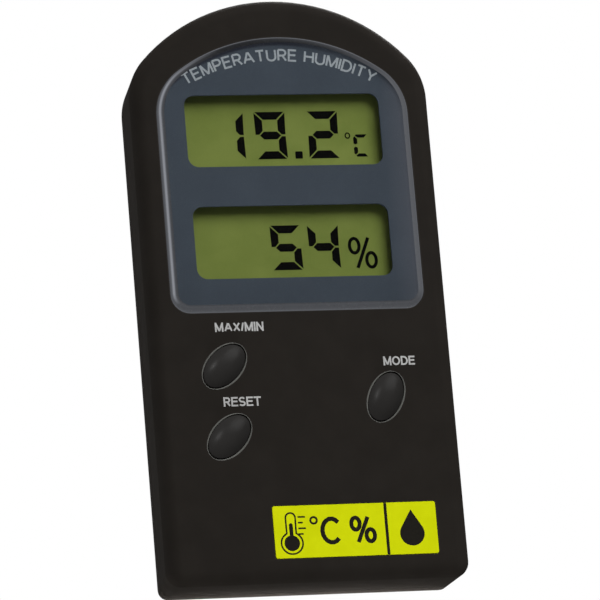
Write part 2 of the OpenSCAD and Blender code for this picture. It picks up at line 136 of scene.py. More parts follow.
def lens_outline(inset):
    """The lens's arch moved inwards by inset, anticlockwise as seen from the front."""
    hub_z = LENS_HIGH.z - LENS_TOP_R
    sx = LENS_W / 2 - LENS_SHOULDER_R
    a = math.degrees(math.acos(sx / (LENS_TOP_R - LENS_SHOULDER_R)))
    sz = hub_z + (LENS_TOP_R - LENS_SHOULDER_R) * math.sin(math.radians(a))
    foot = LENS_FOOT_R - inset
    fx = LENS_W / 2 - inset - foot
    fz = LENS_LOW.z + inset + foot
    return (
        arc(fx, fz, foot, -90, 0, 10)
        + arc(sx, sz, LENS_SHOULDER_R - inset, 0, a, 16)
        + arc(0, hub_z, LENS_TOP_R - inset, a, 180 - a, 40)[1:-1]
        + arc(-sx, sz, LENS_SHOULDER_R - inset, 180 - a, 180, 16)
        + arc(-fx, fz, foot, 180, 270, 10)
    )


def round_box(x0, x1, z0, z1, r):
    return (
        arc(x1 - r, z0 + r, r, -90, 0, 8)
        + arc(x1 - r, z1 - r, r, 0, 90, 8)
        + arc(x0 + r, z1 - r, r, 90, 180, 8)
        + arc(x0 + r, z0 + r, r, 180, 270, 8)
    )


def window_outline(z):
    return round_box(-WINDOW_W / 2, WINDOW_W / 2, z - WINDOW_H / 2, z + WINDOW_H / 2, WINDOW_R)


def oval(cx, cz, tilt, a, b, flank=0.0):
    """An ellipse with its long axis turned by tilt degrees, widened by flank, most on its long sides."""
    steps = 72
    c, s = math.cos(math.radians(tilt)), math.sin(math.radians(tilt))
    points = []
    for i in range(steps):
        t = 2 * math.pi * i / steps
        wide = flank * (0.35 + 0.65 * math.sin(t) ** 2)
        u, v = (a + wide) * math.cos(t), (b + wide) * math.sin(t)
        points.append((cx + u * c - v * s, cz + u * s + v * c))
    return points


def at_y(outline, y):
    return [(x, y, z) for x, z in outline]


# ---------------------------------------------------------------- pieces


def placed(name, data):
    """A new object in the scene."""
    obj = bpy.data.objects.new(name, data)
    bpy.context.scene.collection.objects.link(obj)
    return obj


def side_steps(points, closed):
    """For each point of a line, the sideways step that keeps its edges parallel round the corners."""
    steps = []
    n = len(points)
    for i in range(n):
        before = points[i - 1] if i or closed else points[0]
        after = points[(i + 1) % n] if i < n - 1 or closed else points[-1]
        normals = []
        for (x0, z0), (x1, z1) in ((before, points[i]), (points[i], after)):
            length = math.hypot(x1 - x0, z1 - z0)
            if length > 1e-9:
                normals.append(((z0 - z1) / length, (x1 - x0) / length))
        nx = sum(v[0] for v in normals) / len(normals)
        nz = sum(v[1] for v in normals) / len(normals)
        size = max(nx * nx + nz * nz, 0.4)
        steps.append((nx / size, nz / size))
    return steps


class Shape:
    """Collects closed solids, in millimetres, that become one piece."""

    def __init__(self):
        self.points = []
        self.faces = []
        self.flat = []

    def skin(self, rings, closed=False):
        """A skin over rings of points; the flat ends are kept unsmoothed."""
        base, n, m = len(self.points), len(rings[0]), len(rings)
        for j in range(m if closed else m - 1):
            k = (j + 1) % m
            for i in range(n):
                i2 = (i + 1) % n
                self.faces.append(tuple(base + v for v in (j * n + i, j * n + i2, k * n + i2, k * n + i)))
                self.flat.append(False)
        if not closed:
            self.faces.append(tuple(base + i for i in range(n)))
            self.faces.append(tuple(base + (m - 1) * n + i for i in range(n)))
            self.flat += [True, True]
        self.points += [p for loop in rings for p in loop]

    def slab(self, outline, y, depth):
        """A flat shape whose front face is at y."""
        self.skin([at_y(outline, y), at_y(outline, y + depth)])

    def stroke(self, points, width, y, depth, closed=False):
        """A line of constant width with its front at y; level and upright ends go half a width further."""
        half = width / 2
        points = list(points)
        if not closed:
            for end, inner in ((0, 1), (-1, -2)):
                dx, dz = points[end][0] - points[inner][0], points[end][1] - points[inner][1]
                length = math.hypot(dx, dz)
                if min(abs(dx), abs(dz)) < 1e-3 * length:
                    points[end] = (points[end][0] + dx / length * half, points[end][1] + dz / length * half)
        rings = []
        for (x, z), (sx, sz) in zip(points, side_steps(points, closed)):
            left = (x + sx * half, z + sz * half)
            right = (x - sx * half, z - sz * half)
            rings.append(at_y([left, right], y) + at_y([right, left], y + depth))
        self.skin(rings, closed=closed)

    def turned(self, profile, centre, axis, steps=48):
        """A solid of revolution: profile holds (distance along axis, radius)."""
        rings = []
        for along, radius in profile:
            loop = []
            for i in range(steps):
                a = 2 * math.pi * i / steps
                u, v = radius * math.cos(a), radius * math.sin(a)
                offset = {"x": (along, u, v), "y": (u, along, v)}[axis]
                loop.append(tuple(c + o for c, o in zip(centre, offset)))
            rings.append(loop)
        self.skin(rings)

    def piece(self, name, material, body, smooth_angle=40):
        """Makes the mesh, points its faces outwards and marks its sharp edges."""
        data = bpy.data.meshes.new(name)
        data.from_pydata([[c * MM for c in p] for p in self.points], [], self.faces)
        build = bmesh.new()
        build.from_mesh(data)
        bmesh.ops.recalc_face_normals(build, faces=build.faces)
        for face, flat in zip(build.faces, self.flat):
            face.smooth = not flat
        for edge in build.edges:
            if len(edge.link_faces) == 2 and edge.calc_face_angle(0) > math.radians(smooth_angle):
                edge.smooth = False
        build.to_mesh(data)
        build.free()
        data.materials.append(material)
        obj = placed(name, data)
        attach(obj, body)
        return obj


# ---------------------------------------------------------------- lettering


STEM = [(0, 0), (0, 1)]
P_BOWL = [(0, 1), (0.34, 1), *bow(0.34, 0.73, 0.26, 0.27, 60, -60, 6), (0.34, 0.46), (0, 0.46)]
D_EDGE = [(0, 0), (0, 1), (0.28, 1), *bow(0.28, 0.5, 0.42, 0.5, 75, -75), (0.28, 0)]
S_CURVE = bow(0.31, 0.74, 0.29, 0.26, 25, 270) + bow(0.31, 0.24, 0.31, 0.24, 90, -155)[1:]
U_CURVE = [(0, 1), (0, 0.34), *bow(0.34, 0.34, 0.34, 0.34, 195, 345), (0.68, 0.34), (0.68, 1)]

# Plain capitals one unit tall: width, open lines, closed lines.
GLYPHS = {
    "A": (0.80, [[(0, 0), (0.38, 1)], [(0.42, 1), (0.80, 0)], [(0.16, 0.33), (0.64, 0.33)]], []),
    "C": (0.78, [bow(0.42, 0.5, 0.42, 0.5, 42, 318)], []),
    "D": (0.70, [], [D_EDGE]),
    "E": (0.60, [[(0.60, 1), (0, 1), (0, 0), (0.60, 0)], [(0, 0.53), (0.54, 0.53)]], []),
    "H": (0.68, [STEM, [(0.68, 0), (0.68, 1)], [(0, 0.53), (0.68, 0.53)]], []),
    "I": (0.0, [STEM], []),
    "M": (0.82, [STEM, [(0.02, 1), (0.41, 0)], [(0.41, 0), (0.80, 1)], [(0.82, 0), (0.82, 1)]], []),
    "N": (0.68, [STEM, [(0.03, 1), (0.65, 0)], [(0.68, 0), (0.68, 1)]], []),
    "O": (0.84, [], [ring(0.42, 0.5, 0.42, 0.5)]),
    "P": (0.60, [STEM, P_BOWL], []),
    "R": (0.62, [STEM, P_BOWL, [(0.34, 0.46), (0.62, -0.02)]], []),
    "S": (0.62, [S_CURVE], []),
    "T": (0.66, [[(0, 1), (0.66, 1)], [(0.33, 1), (0.33, 0)]], []),
    "U": (0.68, [U_CURVE], []),
    "X": (0.66, [[(0, 0), (0.66, 1)], [(0, 1), (0.66, 0)]], []),
    "Y": (0.70, [[(0, 1), (0.35, 0.44)], [(0.70, 1), (0.35, 0.44)], [(0.35, 0.46), (0.35, 0)]], []),
    "/": (0.16, [[(-0.02, -0.04), (0.18, 1.04)]], []),
    "%": (0.92, [[(0.24, -0.02), (0.68, 1.02)]],
          [ring(0.17, 0.75, 0.17, 0.25), ring(0.75, 0.25, 0.17, 0.25)]),
    " ": (0.22, [], []),
}


def letter_run(text, weight, height, length):
    """Each glyph with where it starts and the sideways stretch that makes the word fill its length."""
    tall = height - weight
    gap = 0.1 * tall
    fixed = len(text) * weight + (len(text) - 1) * gap
    stretch = (length - fixed) / (sum(GLYPHS[c][0] for c in text) * tall)
    run, spread = weight / 2, []
    for c in text:
        width = GLYPHS[c][0] * tall * stretch
        spread.append((c, run, width, stretch * tall))
        run += width + weight + gap
    return spread, tall


def lettering(shape, text, where, weight, y, depth, arc_of=None):
    """Printed capitals filling the box where = (x0, x1, z0, z1), or following an arc (radius, centre z)."""
    x0, x1, z0, z1 = where
    spread, tall = letter_run(text, weight, z1 - z0, x1 - x0)
    for c, start, width, across in spread:
        centre = x0 + start + width / 2

        def put(point):
            u, v = point[0] * across - width / 2, point[1] * tall + weight / 2
            if arc_of is None:
                return centre + u, z0 + v
            radius, centre_z = arc_of
            turn = centre / radius
            out = radius - (z1 - z0) / 2 + v
            return (
                out * math.sin(turn) + u * math.cos(turn),
                centre_z + out * math.cos(turn) - u * math.sin(turn),
            )

        _, lines, loops = GLYPHS[c]
        for i, line in enumerate(lines):
            shape.stroke([put(p) for p in line], weight, y - i * INK_STEP, depth)
        for loop in loops:
            shape.stroke([put(p) for p in loop], weight, y - INK_STEP, depth, closed=True)


# ---------------------------------------------------------------- materials


def srgb(r, g, b):
    """Screen colour 0-255 to the linear colour that materials take."""
    out = []
    for c in (r, g, b):
        c = c / 255
        out.append(c / 12.92 if c <= 0.04045 else ((c + 0.055) / 1.055) ** 2.4)
    return (*out, 1.0)


def scaled(colour, factor):
    """A linear colour made darker or lighter."""
    return (*(min(1.0, c * factor) for c in colour[:3]), 1.0)


class Nodes:
    """A small helper that adds and joins the shader nodes of a material or a world."""

    def __init__(self, name, world=False):
        self.owner = (bpy.data.worlds if world else bpy.data.materials).new(name)
        self.owner.use_nodes = True
        self.tree = self.owner.node_tree
        self.tree.nodes.clear()
        self.out = self.add("ShaderNodeOutputWorld" if world else "ShaderNodeOutputMaterial")
        self.place = self.add("ShaderNodeTexCoord").outputs["Generated" if world else "Object"]

    def put(self, socket, value):
        """Joins an output to a socket, or sets the socket's value."""
        if isinstance(value, bpy.types.NodeSocket):
            self.tree.links.new(value, socket)
        else:
            socket.default_value = value

    def add(self, kind, **inputs):
        node = self.tree.nodes.new(kind)
        for key, value in inputs.items():
            self.put(node.inputs[key.replace("_", " ")], value)
        return node

    def fill(self, node, values):
        """Fills a node's inputs by their number."""
        for index, value in values.items():
            self.put(node.inputs[index], value)
        return node

    def vector(self, operation, a, b):
        """What an operation on two vectors gives as a number."""
        node = self.tree.nodes.new("ShaderNodeVectorMath")
        node.operation = operation
        return self.fill(node, {0: a, 1: b}).outputs["Value"]

    def along(self, axis):
        """One coordinate of the place."""
        return self.add("ShaderNodeSeparateXYZ", Vector=self.place).outputs[axis]

    def distance(self, point):
        """How far the place is from a fixed point."""
        return self.vector("DISTANCE", self.place, point)

    def noise(self, size_mm, detail=3.0):
        """Noise whose features measure about size_mm."""
        return self.add(
            "ShaderNodeTexNoise", Vector=self.place, Scale=1 / (size_mm * MM), Detail=detail, Roughness=0.55
        ).outputs["Fac"]

    def ramp(self, value, low, high, to_low=0.0, to_high=1.0, smooth=False):
        """A value mapped from one range to another."""
        node = self.add("ShaderNodeMapRange", Value=value)
        if smooth:
            node.interpolation_type = "SMOOTHSTEP"
        for key, number in (("From Min", low), ("From Max", high), ("To Min", to_low), ("To Max", to_high)):
            node.inputs[key].default_value = number
        return node.outputs["Result"]

    def mix(self, factor, a, b):
        """Colour a to colour b by factor."""
        node = self.tree.nodes.new("ShaderNodeMix")
        node.data_type = "RGBA"
        return self.fill(node, {0: factor, 6: a, 7: b}).outputs[2]

    def math(self, operation, a, b=0.0):
        node = self.tree.nodes.new("ShaderNodeMath")
        node.operation = operation
        return self.fill(node, {0: a, 1: b}).outputs[0]

    def stops(self, value, stops):
        """A slightly blue grey that runs through the given (place, level) stops."""
        node = self.add("ShaderNodeValToRGB", Fac=value)
        elements = node.color_ramp.elements
        while len(elements) < len(stops):
            elements.new(0.5)
        for element, (spot, level) in zip(elements, stops):
            element.position = spot
            element.color = (level * 0.94, level * 0.98, level * 1.08, 1)
        return node.outputs["Color"]

    def bump(self, height, depth_mm, strength=1.0):
        node = self.add("ShaderNodeBump", Height=height, Distance=depth_mm * MM, Strength=strength)
        return node.outputs["Normal"]

    def edge(self, width_mm):
        """1 near sharp edges, 0 elsewhere."""
        bevel = self.add("ShaderNodeBevel", Radius=width_mm * MM)
        bevel.samples = 4
        plain = self.add("ShaderNodeNewGeometry").outputs["Normal"]
        return self.ramp(self.vector("DOT_PRODUCT", bevel.outputs[0], plain), 0.995, 0.9)

    def mix_shader(self, factor, a, b):
        """Shader a to shader b by factor."""
        return self.fill(self.tree.nodes.new("ShaderNodeMixShader"), {0: factor, 1: a, 2: b}).outputs[0]

    def principled(self, **inputs):
        return self.add("ShaderNodeBsdfPrincipled", **inputs).outputs["BSDF"]

    def surface(self, shader):
        """Makes the shader the surface and gives back the material or world."""
        self.put(self.out.inputs["Surface"], shader)
        return self.owner


def moulded(name, colour, roughness, grain_mm=0.28, grain_depth=0.012, wear=0.25, specular=0.5):
    """Injection-moulded plastic: fine spark-eroded grain, faint mottling, slightly rubbed edges."""
    n = Nodes(name)
    base = srgb(*colour)
    mottled = n.mix(n.ramp(n.noise(6.0), 0.35, 0.65), scaled(base, 0.94), scaled(base, 1.06))
    bare = srgb(*[min(255, c + 45) for c in colour])
    rubbed = n.mix(n.math("MULTIPLY", n.edge(0.35), wear), mottled, bare)
    grain = n.noise(grain_mm, detail=2.0)
    rough = n.math(
        "ADD",
        n.ramp(n.noise(2.5), 0.3, 0.7, roughness - 0.03, roughness + 0.03),
        n.ramp(grain, 0.3, 0.7, -0.02, 0.02),
    )
    shader = n.principled(
        Base_Color=rubbed, Roughness=rough, Normal=n.bump(grain, grain_depth), Specular_IOR_Level=specular
    )
    return n.surface(shader)


def printed(name, colour):
    """Screen-printed ink with slightly uneven coverage."""
    n = Nodes(name)
    base = srgb(*colour)
    coverage = n.ramp(n.noise(0.5, detail=4.0), 0.3, 0.6)
    shader = n.principled(
        Base_Color=n.mix(coverage, scaled(base, 0.82), base),
        Roughness=n.ramp(n.noise(0.3), 0.3, 0.7, 0.54, 0.66),
        Normal=n.bump(n.noise(0.2), 0.002),
        Specular_IOR_Level=0.005,
    )
    return n.surface(shader)


def metal(name, colour, roughness):
    """Drawn or plated metal with fine lines along one direction."""
    n = Nodes(name)
    mapping = n.add("ShaderNodeMapping", Vector=n.place, Scale=(1, 1, 12))
    fine = n.add("ShaderNodeTexNoise", Vector=mapping.outputs["Vector"], Scale=900.0, Detail=3.0)
    lines = fine.outputs["Fac"]
    base = srgb(*colour)
    shader = n.principled(
        Base_Color=n.mix(n.ramp(n.noise(1.5), 0.35, 0.7), scaled(base, 0.7), base),
        Metallic=1.0,
        Roughness=n.ramp(lines, 0.3, 0.7, roughness - 0.08, roughness + 0.1),
        Normal=n.bump(lines, 0.01),
    )
    return n.surface(shader)


def let_light_through(n, seen):
    """A clear material: light from lamps passes straight through, so what lies behind stays lit."""
    straight = n.add("ShaderNodeBsdfTransparent", Color=(0.96, 0.97, 0.98, 1)).outputs["BSDF"]
    rays = n.add("ShaderNodeLightPath")
    soft = n.math("MAXIMUM", rays.outputs["Is Shadow Ray"], rays.outputs["Is Diffuse Ray"])
    return n.surface(n.mix_shader(soft, seen, straight))


def display_glass():
    """Thin, faintly green glass."""
    n = Nodes("lcd_glass")
    glass = n.principled(
        Base_Color=(0.9, 0.97, 0.92, 1),
        Roughness=n.ramp(n.noise(3.0), 0.3, 0.7, 0.01, 0.03),
        IOR=1.52,
        Transmission_Weight=1.0,
    )
    return let_light_through(n, glass)


def slate_plate():
    """Matt slate film with a faint metallic fleck, made paler near the right edge as painted light, and
    with a painted shadow as a dark line along the arch.
    """
    n = Nodes("faceplate_slate")
    fleck = n.ramp(n.noise(0.12, detail=1.0), 0.55, 0.75, 0.0, 0.12)
    cloud = n.mix(n.ramp(n.noise(9.0), 0.35, 0.65), srgb(56, 64, 73), srgb(60, 68, 77))
    across = n.along("X")
    # Painted light: the slate turns paler within the last few millimetres at the right, as if lit by the
    # lens's bright right edge.
    right = n.ramp(across, (LENS_W / 2 - 5) * MM, (LENS_W / 2 - 1) * MM)
    # Painted shadow: a dark navy line just inside the lens's top arch, strongest at the left and fading to
    # the right.
    hub = (0, PLATE_LOW.y * MM, (LENS_HIGH.z - LENS_TOP_R) * MM)
    inset = n.math("SUBTRACT", LENS_TOP_R * MM, n.distance(hub))
    painted_shadow_fade = n.ramp(across, 2 * MM, 12 * MM, 1.0, 0.3)
    line = n.math("MULTIPLY", n.ramp(inset, 1.6 * MM, 1.25 * MM), painted_shadow_fade)
    # The painted light at the right and the painted shadow line are mixed into the slate colour here.
    cloud = n.mix(line, n.mix(right, cloud, srgb(72, 76, 84)), srgb(34, 37, 47))
    shader = n.principled(
        Base_Color=n.mix(fleck, cloud, srgb(120, 128, 136)),
        Roughness=n.ramp(n.noise(1.0), 0.3, 0.7, 0.55, 0.65),
        Normal=n.bump(n.noise(0.15), 0.002),
        Specular_IOR_Level=0.08,
    )
    return n.surface(shader)


def display_green():
    """Reflective display background: yellow-green, a touch uneven, with a fine pearl grain."""
    n = Nodes("display_green")
    cloud = n.mix(n.ramp(n.noise(7.0), 0.35, 0.65), srgb(110, 124, 53), srgb(121, 134, 62))
    pearl = n.mix(n.ramp(n.noise(0.1, detail=1.0), 0.3, 0.7, 0.0, 0.25), cloud, srgb(138, 150, 78))
    shader = n.principled(
        Base_Color=pearl,
        Roughness=n.ramp(n.noise(0.5), 0.3, 0.7, 0.5, 0.6),
        Normal=n.bump(n.noise(0.15), 0.002),
        Specular_IOR_Level=0.05,
    )
    return n.surface(shader)


def label_film():
    """Satin yellow-green film with a faint orange-peel surface."""
    n = Nodes("label_film")
    ink = n.mix(n.ramp(n.noise(4.0), 0.35, 0.65), srgb(211, 220, 2), srgb(217, 226, 6))
    shader = n.principled(
        Base_Color=ink,
        Roughness=n.ramp(n.noise(1.0), 0.3, 0.7, 0.5, 0.6),
        Normal=n.bump(n.noise(0.6), 0.002),
        Specular_IOR_Level=0.03,
    )
    return n.surface(shader)


# Painted light and shade of the lens edge, drawn as emission, from its outer foot (0) to where the flat
# front starts (1), by side.
LENS_PAINTED_GLOW = {
    "left": ((0.0, 0.07), (0.6, 0.11), (0.78, 0.27), (0.88, 0.25), (0.95, 0.09), (1.0, 0.055)),
    "right": ((0.0, 0.17), (0.5, 0.13), (0.8, 0.1), (1.0, 0.11)),
    "bottom": ((0.0, 0.11), (0.35, 0.088), (0.6, 0.076), (0.9, 0.07), (0.975, 0.078), (1.0, 0.055)),
    "top_left": ((0.0, 0.17), (0.55, 0.15), (0.75, 0.045), (0.88, 0.022), (1.0, 0.018)),
    "top_right": ((0.0, 0.2), (0.6, 0.18), (0.8, 0.075), (0.93, 0.05), (0.975, 0.04), (1.0, 0.03)),
}


def painted_edge_glow(n, height):
    """Painted light and shade for the rounded lens edge, shown as emission: brighter on the left, dimmer at
    the top and bottom.
    """
    x, z = n.along("X"), n.along("Z")
    shade = {side: n.stops(height, stops) for side, stops in LENS_PAINTED_GLOW.items()}
    sides = n.mix(n.ramp(x, -2 * MM, 2 * MM), shade["left"], shade["right"])
    top = n.mix(n.ramp(x, -6 * MM, 10 * MM), shade["top_left"], shade["top_right"])
    low = n.ramp(z, (LENS_LOW.z + 3.4) * MM, (LENS_LOW.z + 1.4) * MM)
    high = n.ramp(z, (LENS_HIGH.z - 9) * MM, (LENS_HIGH.z - 2.5) * MM)
    return n.mix(high, n.mix(low, sides, shade["bottom"]), top)


def lens_with_painted_edge():
    """Clear acrylic on the flat front; its rounded edge is mostly a painted glow (emission) that stands in
    for the light it pipes round the window.
    """
    n = Nodes("clear_lens")
    geometry = n.add("ShaderNodeNewGeometry")
    facing = n.add("ShaderNodeSeparateXYZ", Vector=geometry.outputs["Normal"])
    height = n.math("ABSOLUTE", facing.outputs["Y"])
    edge = n.ramp(height, 0.99995, 0.9995)
    glass = n.principled(
        Base_Color=(1, 1, 1, 1),
        Roughness=n.math("MULTIPLY", edge, n.ramp(n.noise(3.0), 0.3, 0.7, 0.25, 0.3)),
        IOR=1.49,
        Transmission_Weight=1.0,
        Specular_IOR_Level=0.3,
    )
    # Painted light: the rounded edge glows as emission instead of being lit by the lamps; seen from inside
    # the lens it is all glow.
    painted_glow = n.add("ShaderNodeEmission", Color=painted_edge_glow(n, height)).outputs[0]
    speckle = n.ramp(n.noise(0.4), 0.3, 0.7, 0.98, 1.0)
    whole = n.math("MAXIMUM", speckle, geometry.outputs["Backfacing"])
    return let_light_through(n, n.mix_shader(n.math("MULTIPLY", edge, whole), glass, painted_glow))


def circuit_board():
    """Green solder mask over copper tracks, with bright vias."""
    n = Nodes("circuit_board")
    sheet = n.add("ShaderNodeCombineXYZ", X=n.along("X"), Y=n.along("Z")).outputs[0]
    tracks = n.add("ShaderNodeTexBrick", Vector=sheet, Scale=300.0, Mortar_Size=0.09)
    for key, colour in (("Color1", (18, 74, 40)), ("Color2", (22, 84, 46)), ("Mortar", (44, 118, 64))):
        tracks.inputs[key].default_value = srgb(*colour)
    dots = n.add("ShaderNodeTexVoronoi", Vector=n.place, Scale=320.0).outputs["Distance"]
    via = n.ramp(dots, 0.12, 0.09)
    shader = n.principled(
        Base_Color=n.mix(via, tracks.outputs["Color"], srgb(190, 178, 140)),
        Metallic=via,
        Roughness=n.ramp(n.noise(1.0), 0.3, 0.7, 0.25, 0.38),
        Normal=n.bump(tracks.outputs["Fac"], 0.03, 0.6),
        Coat_Weight=0.3,
    )
    return n.surface(shader)


def zebra_rubber():
    """Elastomer connector: fine black conducting bars between pale insulating ones."""
    n = Nodes("zebra_rubber")
    pitch = 0.36 * MM
    wobble = n.math("ADD", n.along("X"), n.math("MULTIPLY", n.noise(0.6), 0.03 * MM))
    bars = n.math("SINE", n.math("MULTIPLY", wobble, 2 * math.pi / pitch))
    shader = n.principled(
        Base_Color=n.mix(n.ramp(bars, -0.2, 0.2), srgb(20, 20, 22), srgb(206, 196, 176)),
        Roughness=n.ramp(n.noise(0.4), 0.3, 0.7, 0.55, 0.7),
        Normal=n.bump(bars, 0.01),
    )
    return n.surface(shader)


def cell_jacket():
    """Shrink jacket of a dry cell: two metallic colour bands, faintly wrinkled and scuffed."""
    n = Nodes("cell_jacket")
    split = CELL_LOW.x + (CELL_HIGH.x - CELL_LOW.x) * 0.36
    band = n.ramp(n.along("X"), (split - 0.05) * MM, (split + 0.05) * MM)
    cloud = n.ramp(n.noise(2.0), 0.3, 0.7)
    dark = n.mix(cloud, srgb(24, 26, 30), srgb(36, 38, 43))
    silver = n.mix(cloud, srgb(150, 152, 156), srgb(172, 174, 178))
    scuff = n.ramp(n.noise(0.25, detail=6.0), 0.62, 0.7, 0.0, 0.35)
    shader = n.principled(
        Base_Color=n.mix(scuff, n.mix(band, silver, dark), srgb(120, 120, 122)),
        Metallic=0.35,
        Roughness=n.ramp(n.noise(0.7), 0.3, 0.7, 0.25, 0.38),
        Normal=n.bump(n.noise(0.9), 0.02),
    )
    return n.surface(shader)


def solid_stuff(name, colour, roughness, size_mm, depth, **more):
    """An everyday material: cloudy colour, uneven gloss and a fine surface."""
    n = Nodes(name)
    base = srgb(*colour)
    cloud = n.ramp(n.noise(size_mm * 6, detail=4.0), 0.32, 0.68)
    fine = n.noise(size_mm)
    shader = n.principled(
        Base_Color=n.mix(cloud, scaled(base, 0.84), scaled(base, 1.16)),
        Roughness=n.ramp(fine, 0.3, 0.7, roughness - 0.06, roughness + 0.06),
        Normal=n.bump(fine, depth),
        **more,
    )
    return n.surface(shader)


COVER = moulded("cover_plastic", (39, 36, 33), 0.6, specular=0.01)
BUTTON = moulded("button_plastic", (36, 35, 34), 0.33, 0.6, grain_depth=0.002, wear=0.0, specular=0.035)
# Light grey on the bead round each button opening: a painted highlight standing in for the bright line
# along the opening's edge.
RIM_PAINTED_HIGHLIGHT = moulded("button_rim_painted_highlight", (90, 90, 86), 0.35, grain_depth=0.003, wear=0.3, specular=0.2)
LENS = lens_with_painted_edge()
SLATE = slate_plate()
LCD_BACK = display_green()
SEGMENT = printed("segment_ink", (3, 3, 2))
LABEL = label_film()
LABEL_INK = printed("label_ink", (36, 34, 30))
WHITE_INK = printed("white_ink", (190, 190, 189))
HEADING_INK = printed("heading_ink", (162, 168, 171))
TAPE = solid_stuff("black_tape", (16, 16, 17), 0.7, 0.2, 0.02)
GLASS = display_glass()
CRYSTAL = solid_stuff("crystal_layer", (150, 160, 110), 0.3, 0.1, 0.002)
REFLECTOR = solid_stuff("reflector_film", (186, 190, 170), 0.35, 0.12, 0.006, Metallic=0.6)
FRAME = moulded("white_frame", (214, 212, 204), 0.5, grain_depth=0.008, wear=0.1)
ZEBRA = zebra_rubber()
BOARD = circuit_board()
EPOXY = solid_stuff("black_epoxy", (14, 14, 15), 0.25, 0.8, 0.03)
TIN = metal("tin_metal", (196, 196, 190), 0.28)
CERAMIC = solid_stuff("ceramic_parts", (168, 138, 98), 0.45, 0.15, 0.01)
SENSOR = solid_stuff("sensor_shell", (222, 224, 226), 0.4, 0.2, 0.02)
ZINC = metal("zinc_steel", (176, 178, 176), 0.32)
BLACK_STEEL = metal("black_steel", (46, 46, 48), 0.38)
SILICONE = solid_stuff("silicone", (150, 152, 156), 0.55, 0.3, 0.006, Subsurface_Weight=0.15)
CARBON = solid_stuff("carbon_rubber", (18, 18, 18), 0.6, 0.1, 0.006)
JACKET = cell_jacket()
SPRING = metal("spring_steel", (190, 188, 180), 0.24)
RED = solid_stuff("red_wire", (170, 26, 22), 0.4, 0.3, 0.01)
BLACK = solid_stuff("black_wire", (22, 22, 23), 0.4, 0.3, 0.01)

DRESSING = {
    "front_cover": COVER,
    "rear_cover": COVER,
    "stand_leg": COVER,
    "battery_door": COVER,
    "front_label": LABEL,
    "lens_tape": TAPE,
    "lcd_front_polarizer": LCD_BACK,
    "lcd_front_glass": GLASS,
    "lcd_crystal_layer": CRYSTAL,
    "lcd_rear_glass": GLASS,
    "lcd_reflector": REFLECTOR,
    "lcd_frame": FRAME,
    "zebra_strip_lower": ZEBRA,
    "zebra_strip_upper": ZEBRA,
    "main_board": BOARD,
    "controller_chip": EPOXY,
    "timing_crystal": TIN,
    "chip_components": CERAMIC,
    "humidity_sensor": SENSOR,
    "thermistor": EPOXY,
    "board_screws": ZINC,
    "case_screws": BLACK_STEEL,
    "max_min_contact": CARBON,
    "reset_contact": CARBON,
    "mode_contact": CARBON,
    "positive_contact": SPRING,
    "negative_contact": SPRING,
    "battery_spring": SPRING,
    "positive_lead": RED,
    "negative_lead": BLACK,
}


# ---------------------------------------------------------------- CAD nodes


def dress(node, material):
    """Gives a CAD node its material, rounds its sharp edges a little and shades its curves smooth."""
    obj = nodes[node]
    obj.data.materials.clear()
    obj.data.materials.append(material)
    obj.modifiers.new("weld", "WELD").merge_threshold = 0.002 * MM
    bevel = obj.modifiers.new("edge", "BEVEL")
    bevel.width = 0.12 * MM
    bevel.segments = 2
    bevel.limit_method = "ANGLE"
    bevel.angle_limit = math.radians(32)
    bevel.use_clamp_overlap = True
    obj.modifiers.new("normals", "WEIGHTED_NORMAL").keep_sharp = True
    for face in obj.data.polygons:
        face.use_smooth = True


for name, material in DRESSING.items():
    dress(name, material)


# ---------------------------------------------------------------- front pieces


def make_lens():
    """Clear raised window: elliptical rounded edge, flat front, flat back just clear of the mask."""
    steps = 12
    rings = [at_y(lens_outline(0.0), PLATE_LOW.y - LENS_BACK_GAP)]
    for i in range(steps + 1):
        t = math.radians(90 * i / steps)
        y = FRONT - (FRONT - LENS_LOW.y) * math.sin(t)
        rings.append(at_y(lens_outline(LENS_EDGE * (1 - math.cos(t))), y))
    shape = Shape()
    shape.skin(rings)
    lens = shape.piece("lens", LENS, "housing", smooth_angle=60)
    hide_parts("display_lens")


def cut_plate(name, loops, front, back, material):
    """A flat housing piece: the first loop is its outline, the others are holes in it."""
    curve = bpy.data.curves.new(name, "CURVE")
    curve.dimensions = "2D"
    curve.fill_mode = "BOTH"
    curve.extrude = (back - front) / 2
    for loop in loops:
        spline = curve.splines.new("POLY")
        spline.points.add(len(loop) - 1)
        for point, (x, z) in zip(spline.points, loop):
            point.co = (x, z, 0, 1)
        spline.use_cyclic_u = True
    drawn = placed(name + "_drawing", curve)
    bpy.context.view_layer.update()
    data = bpy.data.meshes.new_from_object(drawn.evaluated_get(bpy.context.evaluated_depsgraph_get()))
    bpy.data.objects.remove(drawn)
    data.transform(Matrix.Rotation(math.radians(90), 4, "X"))
    data.transform(Matrix.Translation((0, (front + back) / 2, 0)))
    data.transform(Matrix.Scale(MM, 4))
    data.materials.append(material)
    plate = placed(name, data)
    plate.modifiers.new("weld", "WELD").merge_threshold = 0.001 * MM
    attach(plate, "housing")
    return plate


def make_mask():
    """Slate mask behind the lens with its two round-cornered windows."""
    loops = (lens_outline(MASK_INSET), window_outline(UPPER_Z), window_outline(LOWER_Z))
    mask = cut_plate("display_mask", loops, PLATE_LOW.y, PLATE_HIGH.y, SLATE)
    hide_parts("faceplate")


# Which of the seven segments each digit lights: top, upper left, upper right, middle, lower left,
# lower right, bottom.
SEGMENTS = {"1": "0010010", "2": "1011101", "4": "0111010", "5": "1101011", "9": "1111011"}
SEGMENT_W = 1.5
SEGMENT_GAP = 0.182

